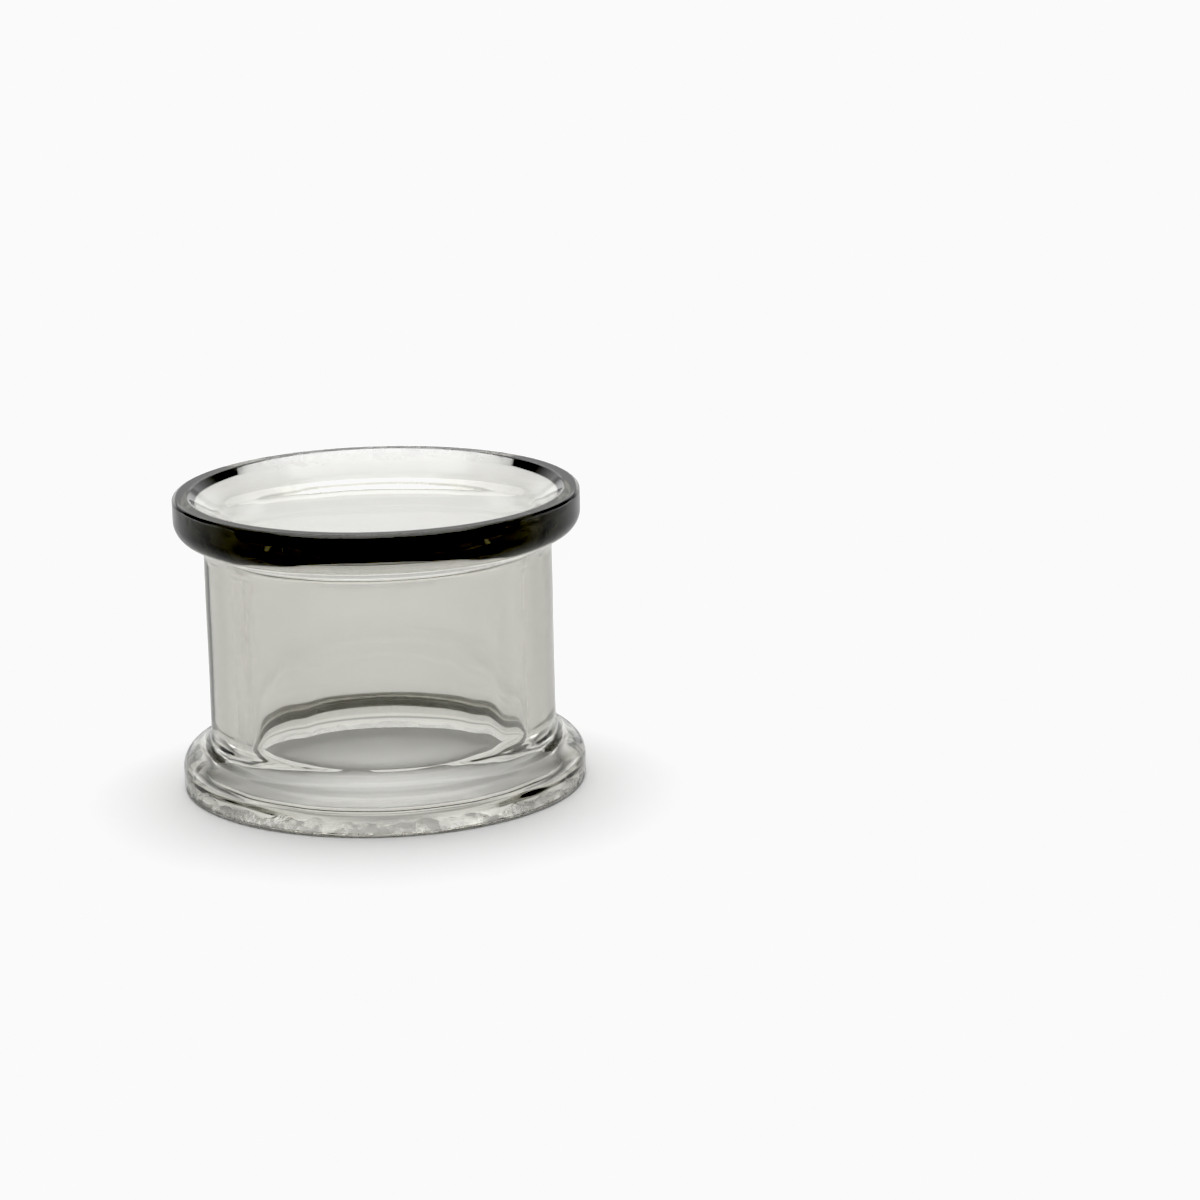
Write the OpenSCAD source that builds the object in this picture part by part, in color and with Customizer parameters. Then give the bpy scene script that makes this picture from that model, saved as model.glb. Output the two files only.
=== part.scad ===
// Double flare flesh tunnel: a short glass tube whose two ends are flared
// outwards. It is one turned piece, standing on its lower flare. The axis is
// Z, and the origin is the centre of the foot on the surface it stands on.
// All sizes are in millimetres.

/* [Neck] */
// Outer diameter of the neck between the flares, the gauge of the tunnel
gauge_d = 22; // [12:0.5:32]
// Thickness of the glass wall of the neck
wall_t = 1.95; // [1.6:0.05:2.2]
// Overall height, from the foot to the upper rim
total_h = 19; // [17:0.2:28]

/* [Flares] */
// Height by which each flare stands out beyond the neck, measured on the radius
flare_out = 1.85; // [1.6:0.05:3]
// Height of the straight outer edge of each flare
edge_h = 2.25; // [1.6:0.05:3]
// Height of the sloping shoulder between the upper flare's edge and the neck
upper_shoulder_h = 1; // [0.7:0.05:2]
// Height of the sloping shoulder between the lower flare's edge and the neck
lower_shoulder_h = 0.7; // [0.7:0.05:2]
// Radius that rounds the outer edge into the shoulder
shoulder_r = 1.3; // [0.3:0.1:1.4]
// Radius of the hollow fillet between the shoulder and the neck
fillet_r = 1.2; // [0.3:0.1:1.4]

/* [Rims] */
// Width of the ring at each end, between the funnel and the bevel
rim_w = 0.8; // [0.5:0.05:0.9]
// Height and width of the bevel on the outer corner of each end
bevel = 0.2; // [0.2:0.05:0.5]
// Radius that rounds both edges of that ring
crest_r = 0.3; // [0.1:0.05:0.35]
// Radius that rounds the bevel into the flare's outer edge
bevel_r = 0.15; // [0.1:0.05:0.35]

/* [Funnels] */
// Depth of the funnel inside the upper flare
upper_funnel_h = 2.6; // [2:0.05:3.5]
// Radius that rounds the upper funnel into the bore
upper_throat_r = 3; // [0.4:0.1:3]
// How far the middle of the upper funnel's side is hollowed into the glass, negative where it stands out
upper_sag = -0.15; // [-0.3:0.05:0.2]
// Depth of the funnel inside the lower flare
lower_funnel_h = 3.25; // [2:0.05:3.5]
// Radius that rounds the lower funnel into the bore
lower_throat_r = 2.5; // [0.4:0.1:2.8]
// How far the middle of the lower funnel's side is hollowed into the glass, negative where it stands out
lower_sag = -0.25; // [-0.3:0.05:0.2]
// Radius that rounds the middle of each funnel's side
sag_r = 2; // [0.5:0.5:4]

/* [Hidden] */

glass = [0.80, 0.82, 0.78, 0.45];
neck_r = gauge_d / 2;
bore_r = neck_r - wall_t;
flare_r = neck_r + flare_out;
rim_r = flare_r - bevel - rim_w;
arc_step = 6;

function point(row) = [row[0], row[1]];
function unit(v) = v / norm(v);
function bearing(v) = atan2(v[1], v[0]);
function half_turn(a) = a > 180 ? a - 360 : (a < -180 ? a + 360 : a);
function straight(u, v) = norm(u + v) < 0.001;

// The corners of one end, from the bore round the end to the neck. Each row
// is a corner: its radius from the axis, its height from the end, and the
// radius that rounds it.
function end_rows(shoulder_h, funnel_h, throat_r, sag) =
    let (
        across = rim_r - bore_r,
        middle = [bore_r + across / 2, funnel_h / 2] + sag * unit([funnel_h, across])
    )
    [
        [bore_r, funnel_h, throat_r],
        [middle[0], middle[1], sag_r],
        [rim_r, 0, crest_r],
        [flare_r - bevel, 0, crest_r],
        [flare_r, bevel, bevel_r],
        [flare_r, edge_h, shoulder_r],
        [neck_r, edge_h + shoulder_h, fillet_r]
    ];

lower_end = end_rows(lower_shoulder_h, lower_funnel_h, lower_throat_r, lower_sag);
upper_end = end_rows(upper_shoulder_h, upper_funnel_h, upper_throat_r, upper_sag);
last_row = len(upper_end) - 1;

// The upper end's corners turned upside down, in the order that closes the ring
upper_half = [for (i = [last_row:-1:0]) [upper_end[i][0], total_h - upper_end[i][1], upper_end[i][2]]];
outline = concat(lower_end, upper_half);

// The points that round one corner: an arc that touches both of its sides
function rounded(before, corner, after) =
    let (
        p = point(corner),
        u = unit(point(before) - p),
        v = unit(point(after) - p),
        half_angle = acos(u * v) / 2,
        reach = corner[2] / tan(half_angle),
        centre = p + unit(u + v) * corner[2] / sin(half_angle),
        start = bearing(p + u * reach - centre),
        turn = half_turn(bearing(p + v * reach - centre) - start),
        steps = max(2, ceil(abs(turn) / arc_step))
    )
    straight(u, v) ? [p] :
    [for (k = [0:steps]) centre + corner[2] * [cos(start + turn * k / steps), sin(start + turn * k / steps)]];

// A closed outline with every corner rounded by its own radius
function rounded_outline(rows) =
    let (n = len(rows))
    [for (i = [0:n - 1]) each rounded(rows[(i + n - 1) % n], rows[i], rows[(i + 1) % n])];

// The whole tunnel, turned from its outline
module tunnel_body() {
    color(glass)
    rotate_extrude($fn = 180)
    polygon(rounded_outline(outline));
}

tunnel_body();
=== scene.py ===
"""Double flare flesh tunnel: one turned piece of lightly smoked glass on a pale floor."""

import math

import bmesh
import bpy
import numpy as np
from mathutils import Matrix, Vector, noise


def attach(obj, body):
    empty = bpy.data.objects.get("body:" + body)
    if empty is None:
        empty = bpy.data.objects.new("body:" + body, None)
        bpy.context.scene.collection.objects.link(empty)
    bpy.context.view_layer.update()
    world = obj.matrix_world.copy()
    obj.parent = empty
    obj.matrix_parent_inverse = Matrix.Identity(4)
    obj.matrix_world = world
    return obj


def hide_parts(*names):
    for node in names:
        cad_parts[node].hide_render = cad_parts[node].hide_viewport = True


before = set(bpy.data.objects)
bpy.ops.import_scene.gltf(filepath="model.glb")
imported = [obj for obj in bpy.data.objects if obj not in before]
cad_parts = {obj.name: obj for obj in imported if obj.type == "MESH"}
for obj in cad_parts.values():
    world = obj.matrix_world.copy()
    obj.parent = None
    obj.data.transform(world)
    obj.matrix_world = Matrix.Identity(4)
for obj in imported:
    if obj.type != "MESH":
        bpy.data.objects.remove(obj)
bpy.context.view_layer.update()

MM = 0.001

# Sizes of the turned outline, as the frame's solid has them
GAUGE_D = 22.0 * MM
WALL = 1.95 * MM
HEIGHT = 19.0 * MM
FLARE_OUT = 1.85 * MM
EDGE_H = 2.25 * MM
SHOULDER_R = 1.3 * MM
FILLET_R = 1.2 * MM
BEVEL = 0.2 * MM
RIM_W = 0.8 * MM
UPPER_SHOULDER_H = 1.0 * MM
UPPER_FUNNEL_H = 2.6 * MM
UPPER_THROAT_R = 3.0 * MM
UPPER_SAG = -0.15 * MM
LOWER_SHOULDER_H = 0.7 * MM
LOWER_FUNNEL_H = 3.25 * MM
LOWER_THROAT_R = 2.5 * MM
LOWER_SAG = -0.25 * MM
SAG_R = 2.0 * MM
CREST_R = 0.3 * MM
BEVEL_R = 0.15 * MM

NECK_R = GAUGE_D / 2
BORE_R = NECK_R - WALL
FLARE_R = NECK_R + FLARE_OUT
CORNER_R = FLARE_R - BEVEL
RIM_R = CORNER_R - RIM_W

# How finely the turning and the outline are divided: arcs, long straight sides and ground edges.
# GUARD is how far from an arc the first point of a straight side lies.
SEGMENTS = 440
ARC_STEP_DEG = 5
LEAST_STEPS = 3
LONG_ROW = 1.5 * MM
GROUND_ROW = 0.08 * MM
GUARD = 0.03 * MM

# The ground zone at each end, and its chips: how deep and how wide they are, over what height they
# fade out, how far a flat facet reaches from a chip's centre and its share in the depth, the size of
# the ragged bits, the size of the groups that the chips come in, and how sharp and how full these are
GROUND_H = 0.75 * MM
CHIP_DEPTH = 0.05 * MM
CHIP_SIZE = 0.75 * MM
CHIP_FADE_H = 0.45 * GROUND_H
FACET_REACH = 0.55
FACET_SHARE = 0.6
RAGGED_SIZE = 0.5 * CHIP_SIZE
GROUP_SIZE = 4 * CHIP_SIZE
GROUP_CONTRAST = 3
CHIP_SHARE = 0.1

# Draw lines and slow waves inside the glass: how high and how wide they are, which of the noise's
# layers gives the lines, and how far from the ends both have their full height
DRAW_HEIGHT = 0.05 * MM
DRAW_WIDTH = 2.0 * MM
DRAW_LAYER = 0.5
WAVE_HEIGHT = 0.02 * MM
WAVE_WIDTH = 5.0 * MM
WAVE_EDGE = 0.6 * MM

# The glass: its index, and the tint in its depth
GLASS_IOR = 1.5
SMOKE_COLOUR = (0.563, 0.555, 0.495, 1)
SMOKE_DENSITY = 295

# The look of the ground zone: flakes, which reach highest at their centres, in shares of the zone's
# height, and have a soft edge, patches more or less frosted, and a fine grain
FLAKES_PER_METRE = 650.0
FLAKE_TOP = 1.25
FLAKE_CUSP = 0.9
FLAKE_EDGE = 0.08 * GROUND_H
PATCHES_PER_METRE = 900.0
PATCH_EDGE = (0.4, 0.6)
FROSTING = (0.12, 0.4)
GRAINS_PER_METRE = 1500.0
GRAIN_STRENGTH = 0.5
GRAIN_H = 0.06 * MM

# Where the upper end's ground zone stops short of its front, and the blend from lower to upper end
CLEAR_FRONT = (7.5 * MM, 9.5 * MM)
HALFWAY_BLEND = 1.0 * MM

# The photograph's camera, in flare radii and degrees
CAMERA_DISTANCE = 19.8085 * FLARE_R
CAMERA_ELEVATION = 16.919
CAMERA_YAW = 3.289
CAMERA_PITCH = -14.45
CAMERA_ROLL = -1.169
IMAGE_SIDE = 1200
FOCAL_PIXELS = 3952.4
SENSOR_MM = 36
CLIP_NEAR = 0.01
CLIP_FAR = 50.0

# How bright each part of the studio is: a soft box overhead, its stronger middle, a backdrop of a
# sheet and a screen with a dimmer gap between them, the surroundings low down at the sides, soft
# boxes above those, the room, and what reflections find below the horizon in front and behind
OVERHEAD = 1.25
ZENITH = 1.75
BACKDROP = 1.1
GAP_SHARE = 0.5
SIDES = 2.6
SIDE_BOXES = 1.2
ROOM = 0.16
BELOW_FRONT = 0.03
BELOW_BACK = 0.7

# Where each part begins and ends, as parts of a direction one unit long: aside, away from the camera
# and up. The box overhead leans away by LEAN.
LEAN = 0.34
OVERHEAD_EDGE = (0.76, 1.0)
ZENITH_EDGE = (0.82, 0.9)
BACKDROP_EDGE = (0.76, 0.98)
BACKDROP_TOP = (0.4, 0.8)
SHEET_TOP = (0.15, 0.21)
SCREEN_FOOT = (0.23, 0.29)
SIDES_EDGE = (0.55, 0.7)
SIDES_TOP = (0.0, 0.3)
SIDES_FRONT = (-0.4, 0.1)
BOXES_EDGE = (0.55, 0.85)
BOXES_FOOT = (0.2, 0.3)
BOXES_FRONT = (0.05, 0.35)
BELOW_EDGE = (-0.5, 0.2)
HORIZON_EDGE = (-0.02, 0.0)

# The floor: half its width, how far it lies below the foot and its tone
FLOOR_SIDE = 6.0
FLOOR_DROP = 0.005 * MM
FLOOR_TONE = 0.95

# The black card in front: how near it comes, half its width, how far above the floor it lies and
# its tone
CARD_NEAR = 75 * MM
CARD_SIDE = 600 * MM
CARD_LIFT = 0.1 * MM
CARD_TONE = 0.01

# How often light may bounce in the glass and off the floor
GLASS_BOUNCES = 40
FLOOR_BOUNCES = 3

# The photograph's tones: its blacks are deepened and its pale floor is a flat near-white
BLACK_LEVEL = 0.046
TOP_TONE = 0.956


def corner_arc(before, corner, after):
    """The points that round one corner row [radius, height, rounding], an arc that touches both sides."""
    here = Vector(corner[:2])
    to_before = (Vector(before[:2]) - here).normalized()
    to_after = (Vector(after[:2]) - here).normalized()
    rounding = corner[2]
    half = to_before.angle(to_after) / 2
    reach = rounding / math.tan(half)
    centre = here + (to_before + to_after).normalized() * (rounding / math.sin(half))
    first = here + to_before * reach - centre
    last = here + to_after * reach - centre
    start = math.atan2(first.y, first.x)
    turn = (math.atan2(last.y, last.x) - start + math.pi) % math.tau - math.pi
    steps = max(LEAST_STEPS, math.ceil(abs(math.degrees(turn)) / ARC_STEP_DEG))
    angles = [start + turn * k / steps for k in range(steps + 1)]
    return [(centre.x + rounding * math.cos(a), centre.y + rounding * math.sin(a)) for a in angles]


def half_outline(shoulder_h, funnel_h, throat_r, sag):
    """One end's corner rows [radius, height, rounding] from the bore round the end to the neck."""
    side = Vector((RIM_R - BORE_R, -funnel_h))
    middle = Vector((BORE_R, funnel_h)) + side / 2 + Vector((-side.y, side.x)).normalized() * sag
    return [
        (BORE_R, funnel_h, throat_r),
        (middle.x, middle.y, SAG_R),
        (RIM_R, 0, CREST_R),
        (CORNER_R, 0, CREST_R),
        (FLARE_R, BEVEL, BEVEL_R),
        (FLARE_R, EDGE_H, SHOULDER_R),
        (NECK_R, EDGE_H + shoulder_h, FILLET_R),
    ]


def turned_outline():
    """The closed outline in the plane of radius and height, as rows of (radius, height)."""
    lower = half_outline(LOWER_SHOULDER_H, LOWER_FUNNEL_H, LOWER_THROAT_R, LOWER_SAG)
    upper = half_outline(UPPER_SHOULDER_H, UPPER_FUNNEL_H, UPPER_THROAT_R, UPPER_SAG)
    rows = lower + [(r, HEIGHT - z, rounding) for r, z, rounding in reversed(upper)]
    count = len(rows)
    arcs = [corner_arc(rows[i - 1], rows[i], rows[(i + 1) % count]) for i in range(count)]
    points = []
    for i, arc in enumerate(arcs):
        points += arc
        points += straight_between(arc[-1], arcs[(i + 1) % count][0])
    return points


def in_ground_zone(z):
    """True for heights inside the ground zone of either end."""
    return min(z, HEIGHT - z) <= GROUND_H


def straight_between(start, end):
    """Points along one straight side: a guard point near each arc, so that the arcs' shading stays on
    the arcs, and rows for the chips where the side is part of a ground edge."""
    length = math.dist(start, end)
    if length < 3 * GUARD:
        return []
    places = {GUARD / length, 1 - GUARD / length}
    if start[0] > CORNER_R - GUARD and end[0] > CORNER_R - GUARD:
        rows = math.ceil(length / GROUND_ROW)
        heights = [start[1] + (end[1] - start[1]) * k / rows for k in range(rows + 1)]
        places |= {k / rows for k in range(1, rows) if in_ground_zone(heights[k])}
    elif length > 2 * LONG_ROW:
        rows = math.ceil(length / LONG_ROW)
        places |= {k / rows for k in range(1, rows)}
    return [
        (start[0] + (end[0] - start[0]) * t, start[1] + (end[1] - start[1]) * t)
        for t in sorted(places)
    ]


def smooth_step(value):
    """0 below 0, 1 above 1, and a smooth rise between."""
    value = min(max(value, 0.0), 1.0)
    return value * value * (3 - 2 * value)


def chip_depth(place):
    """How far the ground edge is chipped away at a place."""
    low = min(place.z, HEIGHT - place.z)
    fade = smooth_step((GROUND_H - low) / CHIP_FADE_H)
    nearest = noise.voronoi(place / CHIP_SIZE)[0][0]
    facet = smooth_step(1 - nearest / FACET_REACH)
    ragged = (1 + noise.noise(place / RAGGED_SIZE)) / 2
    share = smooth_step((noise.noise(place / GROUP_SIZE) + CHIP_SHARE) * GROUP_CONTRAST)
    return CHIP_DEPTH * fade * share * (FACET_SHARE * facet + (1 - FACET_SHARE) * ragged)


def inner_wave(place):
    """How far the inner surface stands out of round at a place: draw lines that run the length of the
    bore, and slow waves."""
    edge = smooth_step(min(place.z, HEIGHT - place.z) / WAVE_EDGE)
    around = Vector((place.x, place.y, 0)).normalized() * BORE_R
    lines = noise.noise(around / DRAW_WIDTH + Vector((0, 0, DRAW_LAYER)))
    return edge * (DRAW_HEIGHT * lines + WAVE_HEIGHT * noise.noise(place / WAVE_WIDTH))


def tunnel_mesh():
    """The whole tunnel turned from its outline, with draw lines inside and chipped ground edges."""
    outline = turned_outline()
    count = len(outline)
    places = []
    for k in range(SEGMENTS):
        turn = math.tau * k / SEGMENTS
        out = Vector((math.cos(turn), math.sin(turn), 0))
        for radius, height in outline:
            place = out * radius + Vector((0, 0, height))
            shift = 0.0
            if radius > CORNER_R - GUARD and in_ground_zone(height):
                shift = -chip_depth(place)
            if radius < NECK_R:
                shift = inner_wave(place)
            places.append(place + out * shift)
    ring = np.arange(SEGMENTS)[:, None] * count
    next_ring = np.roll(ring, -1, axis=0)
    along = np.arange(count)[None, :]
    next_along = np.roll(along, -1, axis=1)
    faces = np.stack(
        [ring + along, next_ring + along, next_ring + next_along, ring + next_along], axis=-1
    ).reshape(-1, 4)
    mesh = bpy.data.meshes.new("tunnel_glass")
    mesh.from_pydata([tuple(p) for p in places], [], faces.tolist())
    made = bmesh.new()
    made.from_mesh(mesh)
    bmesh.ops.recalc_face_normals(made, faces=made.faces)
    made.to_mesh(mesh)
    made.free()
    mesh.shade_smooth()
    return mesh


def add_node(tree, kind, **inputs):
    """Adds a shader node of one kind and sets its named inputs."""
    node = tree.nodes.new(kind)
    for name, value in inputs.items():
        node.inputs[name.replace("_", " ")].default_value = value
    return node


def plug(tree, socket, value):
    """Sets a socket to a number or links it to another node's output."""
    if isinstance(value, bpy.types.NodeSocket):
        tree.links.new(value, socket)
    else:
        socket.default_value = value


def maths(tree, operation, *values):
    """Adds a maths node and returns its output."""
    node = tree.nodes.new("ShaderNodeMath")
    node.operation = operation
    for socket, value in zip(node.inputs, values):
        plug(tree, socket, value)
    return node.outputs[0]


def ramp(tree, value, low, high, at_low, at_high):
    """Maps a value smoothly from one range to another and returns the output."""
    node = tree.nodes.new("ShaderNodeMapRange")
    node.interpolation_type = "SMOOTHSTEP"
    for socket, number in zip(node.inputs, (value, low, high, at_low, at_high)):
        plug(tree, socket, number)
    return node.outputs["Result"]


def smoked_glass():
    """Smoked glass: clear and polished, its ground ends finely rough, with the tint in its depth."""
    material = bpy.data.materials.new("smoked_glass")
    material.use_nodes = True
    tree = material.node_tree
    tree.nodes.clear()
    out = add_node(tree, "ShaderNodeOutputMaterial")
    glass = add_node(tree, "ShaderNodeBsdfPrincipled", Base_Color=(1, 1, 1, 1), IOR=GLASS_IOR)
    glass.inputs["Transmission Weight"].default_value = 1.0
    tree.links.new(glass.outputs["BSDF"], out.inputs["Surface"])
    depth = add_node(tree, "ShaderNodeVolumeAbsorption")
    depth.inputs["Color"].default_value = SMOKE_COLOUR
    depth.inputs["Density"].default_value = SMOKE_DENSITY
    tree.links.new(depth.outputs["Volume"], out.inputs["Volume"])

    place = add_node(tree, "ShaderNodeTexCoord")
    split = add_node(tree, "ShaderNodeSeparateXYZ")
    tree.links.new(place.outputs["Object"], split.inputs["Vector"])
    # The height above the middle gives the distance from the nearer end
    middle = maths(tree, "SUBTRACT", split.outputs["Z"], HEIGHT / 2)
    from_end = maths(tree, "SUBTRACT", HEIGHT / 2, maths(tree, "ABSOLUTE", middle))
    # Flakes: the zone reaches highest at each cell's centre, with cusps between the cells
    flat_place = add_node(tree, "ShaderNodeCombineXYZ")
    tree.links.new(split.outputs["X"], flat_place.inputs["X"])
    tree.links.new(split.outputs["Y"], flat_place.inputs["Y"])
    flakes = add_node(tree, "ShaderNodeTexVoronoi", Scale=FLAKES_PER_METRE)
    tree.links.new(flat_place.outputs["Vector"], flakes.inputs["Vector"])
    reach = maths(tree, "MULTIPLY_ADD", flakes.outputs["Distance"], -FLAKE_CUSP, FLAKE_TOP)
    level = maths(tree, "MULTIPLY", reach, GROUND_H)
    under = maths(tree, "SUBTRACT", level, from_end)
    ground = ramp(tree, under, 0, FLAKE_EDGE, 0, 1)
    # The upper end is ground at its back only
    upper = ramp(tree, middle, -HALFWAY_BLEND, HALFWAY_BLEND, 0, 1)
    front = ramp(tree, split.outputs["Y"], *CLEAR_FRONT, 1, 0)
    spared = maths(tree, "SUBTRACT", 1, maths(tree, "MULTIPLY", upper, front))
    ground = maths(tree, "MULTIPLY", ground, spared)

    patches = add_node(tree, "ShaderNodeTexNoise", Scale=PATCHES_PER_METRE, Detail=4.0, Roughness=0.6)
    tree.links.new(place.outputs["Object"], patches.inputs["Vector"])
    frosted = ramp(tree, patches.outputs["Fac"], *PATCH_EDGE, *FROSTING)
    tree.links.new(maths(tree, "MULTIPLY", frosted, ground), glass.inputs["Roughness"])
    grain = add_node(tree, "ShaderNodeTexNoise", Scale=GRAINS_PER_METRE, Detail=3.0, Roughness=0.6)
    tree.links.new(place.outputs["Object"], grain.inputs["Vector"])
    bump = add_node(tree, "ShaderNodeBump", Strength=GRAIN_STRENGTH, Distance=GRAIN_H)
    # The noise's middle is no rise at all, so that the bump doesn't step at the zone's edge
    rise = maths(tree, "SUBTRACT", grain.outputs["Fac"], 0.5)
    tree.links.new(maths(tree, "MULTIPLY", rise, ground), bump.inputs["Height"])
    tree.links.new(bump.outputs["Normal"], glass.inputs["Normal"])
    return material


def matt_sheet(name, half_width, front, back, height, surface, tone):
    """A level sheet from front to back at one height, of a matt surface of one grey tone."""
    mesh = bpy.data.meshes.new(name)
    left, right = -half_width, half_width
    corners = [(left, front, 0), (right, front, 0), (right, back, 0), (left, back, 0)]
    mesh.from_pydata(corners, [], [(0, 1, 2, 3)])
    sheet = bpy.data.objects.new(name, mesh)
    bpy.context.scene.collection.objects.link(sheet)
    sheet.location.z = height
    material = bpy.data.materials.new(surface)
    material.use_nodes = True
    shader = material.node_tree.nodes["Principled BSDF"]
    shader.inputs["Base Color"].default_value = (tone, tone, tone, 1)
    shader.inputs["Roughness"].default_value = 1.0
    shader.inputs["Specular IOR Level"].default_value = 0.0
    mesh.materials.append(material)
    return sheet


def pale_floor():
    """A wide pale floor that fills the view."""
    floor = matt_sheet("floor", FLOOR_SIDE, -FLOOR_SIDE, FLOOR_SIDE, -FLOOR_DROP, "floor_paper", FLOOR_TONE)
    floor.visible_glossy = False


def dark_card():
    """A black card that lies in front, out of the view, and keeps the near rim's reflections dark."""
    card = matt_sheet("dark_card", CARD_SIDE, -CARD_SIDE, -CARD_NEAR, CARD_LIFT, "black_card", CARD_TONE)
    card.visible_camera = False
    card.visible_diffuse = False
    card.visible_shadow = False


def studio_light():
    """The studio round the tunnel: bright overhead, behind and at the sides, and dark in front."""
    world = bpy.data.worlds.new("studio")
    bpy.context.scene.world = world
    world.use_nodes = True
    tree = world.node_tree
    sky = tree.nodes["Background"]
    sky.inputs["Color"].default_value = (1, 1, 1, 1)
    place = add_node(tree, "ShaderNodeTexCoord")
    split = add_node(tree, "ShaderNodeSeparateXYZ")
    tree.links.new(place.outputs["Generated"], split.inputs["Vector"])
    aside, away, up = (split.outputs[axis] for axis in "XYZ")
    flat = add_node(tree, "ShaderNodeCombineXYZ")
    plug(tree, flat.inputs["X"], aside)
    plug(tree, flat.inputs["Y"], away)
    bearing = tree.nodes.new("ShaderNodeVectorMath")
    bearing.operation = "NORMALIZE"
    plug(tree, bearing.inputs[0], flat.outputs["Vector"])
    heading = add_node(tree, "ShaderNodeSeparateXYZ")
    plug(tree, heading.inputs["Vector"], bearing.outputs["Vector"])

    leaning = maths(tree, "MULTIPLY_ADD", away, LEAN, up)
    overhead = ramp(tree, leaning, *OVERHEAD_EDGE, 0, OVERHEAD)
    zenith = ramp(tree, up, *ZENITH_EDGE, 0, ZENITH)
    # The backdrop spreads round the heading straight back
    sheet = ramp(tree, up, *SHEET_TOP, 1, GAP_SHARE)
    screen = ramp(tree, up, *SCREEN_FOOT, GAP_SHARE, 1)
    upright = maths(tree, "MAXIMUM", sheet, screen)
    upright = maths(tree, "MULTIPLY", upright, ramp(tree, up, *BACKDROP_TOP, 1, 0))
    across = ramp(tree, heading.outputs["Y"], *BACKDROP_EDGE, 0, BACKDROP)
    # The sides and the boxes above them are alike on the left and on the right
    wide = maths(tree, "ABSOLUTE", aside)
    sides = ramp(tree, wide, *SIDES_EDGE, 0, SIDES)
    low = maths(tree, "MULTIPLY", ramp(tree, up, *SIDES_TOP, 1, 0), ramp(tree, away, *SIDES_FRONT, 0, 1))
    boxes = ramp(tree, wide, *BOXES_EDGE, 0, SIDE_BOXES)
    high = maths(tree, "MULTIPLY", ramp(tree, up, *BOXES_FOOT, 0, 1), ramp(tree, away, *BOXES_FRONT, 0, 1))

    level = maths(tree, "ADD", overhead, ROOM)
    level = maths(tree, "ADD", level, zenith)
    level = maths(tree, "MULTIPLY_ADD", across, upright, level)
    level = maths(tree, "MULTIPLY_ADD", sides, low, level)
    level = maths(tree, "MULTIPLY_ADD", boxes, high, level)
    above = ramp(tree, up, *HORIZON_EDGE, 0, 1)
    level = maths(tree, "MULTIPLY", level, above)
    under = maths(tree, "SUBTRACT", 1, above)
    below = ramp(tree, away, *BELOW_EDGE, BELOW_FRONT, BELOW_BACK)
    plug(tree, sky.inputs["Strength"], maths(tree, "MULTIPLY_ADD", below, under, level))


def photo_camera():
    """The camera that the photograph was taken with, as fitted to the tunnel's outline in it."""
    elevation = math.radians(CAMERA_ELEVATION)
    yaw, pitch, roll = (math.radians(a) for a in (CAMERA_YAW, CAMERA_PITCH, CAMERA_ROLL))
    place = Vector((0, -math.cos(elevation), math.sin(elevation))) * CAMERA_DISTANCE
    ahead = Vector((math.sin(yaw) * math.cos(pitch), math.cos(yaw) * math.cos(pitch), math.sin(pitch)))
    right = ahead.cross(Vector((0, 0, 1))).normalized()
    up = right.cross(ahead)
    rolled_right = right * math.cos(roll) + up * math.sin(roll)
    rolled_up = up * math.cos(roll) - right * math.sin(roll)
    turn = Matrix((rolled_right, rolled_up, -ahead)).transposed().to_4x4()
    camera = bpy.data.objects.new("camera", bpy.data.cameras.new("camera"))
    bpy.context.scene.collection.objects.link(camera)
    camera.matrix_world = Matrix.Translation(place) @ turn
    camera.data.sensor_width = SENSOR_MM
    camera.data.lens = FOCAL_PIXELS * SENSOR_MM / IMAGE_SIDE
    camera.data.clip_start = CLIP_NEAR
    camera.data.clip_end = CLIP_FAR
    bpy.context.scene.camera = camera


def light_paths():
    """Enough bounces for light to run the length of the wall inside the glass."""
    scene = bpy.context.scene
    scene.cycles.max_bounces = GLASS_BOUNCES
    scene.cycles.transmission_bounces = GLASS_BOUNCES
    scene.cycles.glossy_bounces = GLASS_BOUNCES
    scene.cycles.diffuse_bounces = FLOOR_BOUNCES


def tones():
    """Deepens the blacks and holds the brightest tones at the floor's near-white."""
    view = bpy.context.scene.view_settings
    view.view_transform = "Standard"
    view.use_curve_mapping = True
    mapping = view.curve_mapping
    mapping.extend = "HORIZONTAL"
    # The fourth curve is the one for all three colours together
    curve = mapping.curves[3]
    curve.points[0].location = (BLACK_LEVEL, 0)
    curve.points[1].location = (TOP_TONE, TOP_TONE)
    for point in curve.points:
        point.handle_type = "VECTOR"
    mapping.update()


photo_camera()
light_paths()
tones()
studio_light()
pale_floor()
dark_card()

tunnel = bpy.data.objects.new("tunnel_glass", tunnel_mesh())
bpy.context.scene.collection.objects.link(tunnel)
tunnel.data.materials.append(smoked_glass())
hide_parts("tunnel_body")
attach(tunnel, "root")
